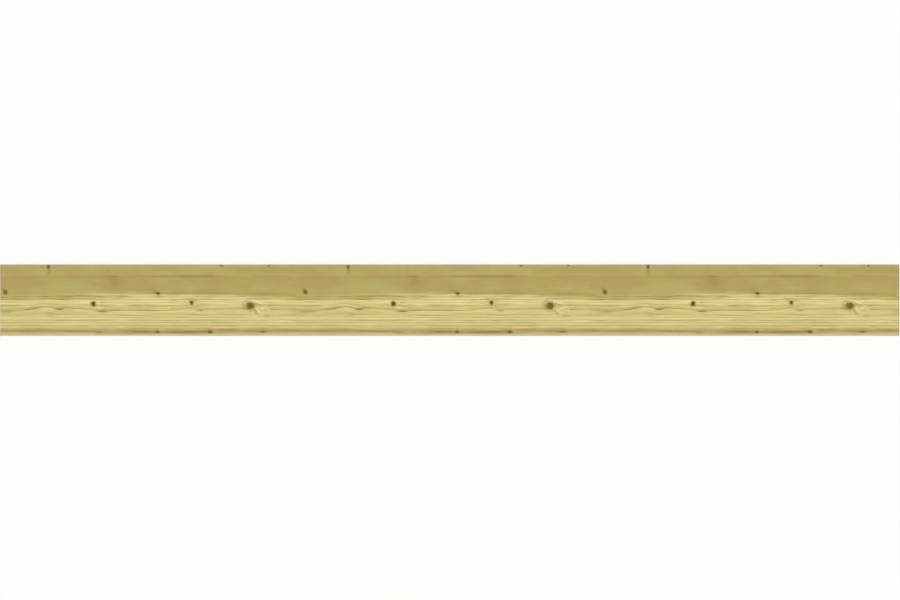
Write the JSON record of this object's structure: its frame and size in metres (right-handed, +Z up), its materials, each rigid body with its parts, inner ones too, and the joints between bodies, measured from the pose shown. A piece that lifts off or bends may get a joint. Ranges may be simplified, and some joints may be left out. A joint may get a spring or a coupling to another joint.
{
  "type": "timber plank",
  "caption": "Long flat softwood plank of rectangular section with eased long arrises and square-docked ends, stock for framing, joists, treads and shelving.",
  "frame": {"origin": "middle of the underside, on the surface that the plank lies on", "axes": "+X along the grain, +Y across the wide face towards the back edge, +Z up through the thickness"},
  "size_m": [2.4, 0.19, 0.045],
  "materials": {
    "treated_pine": "matte"
  },
  "bodies": {
    "root": {"plank": "treated_pine"}
  },
  "joints": []
}
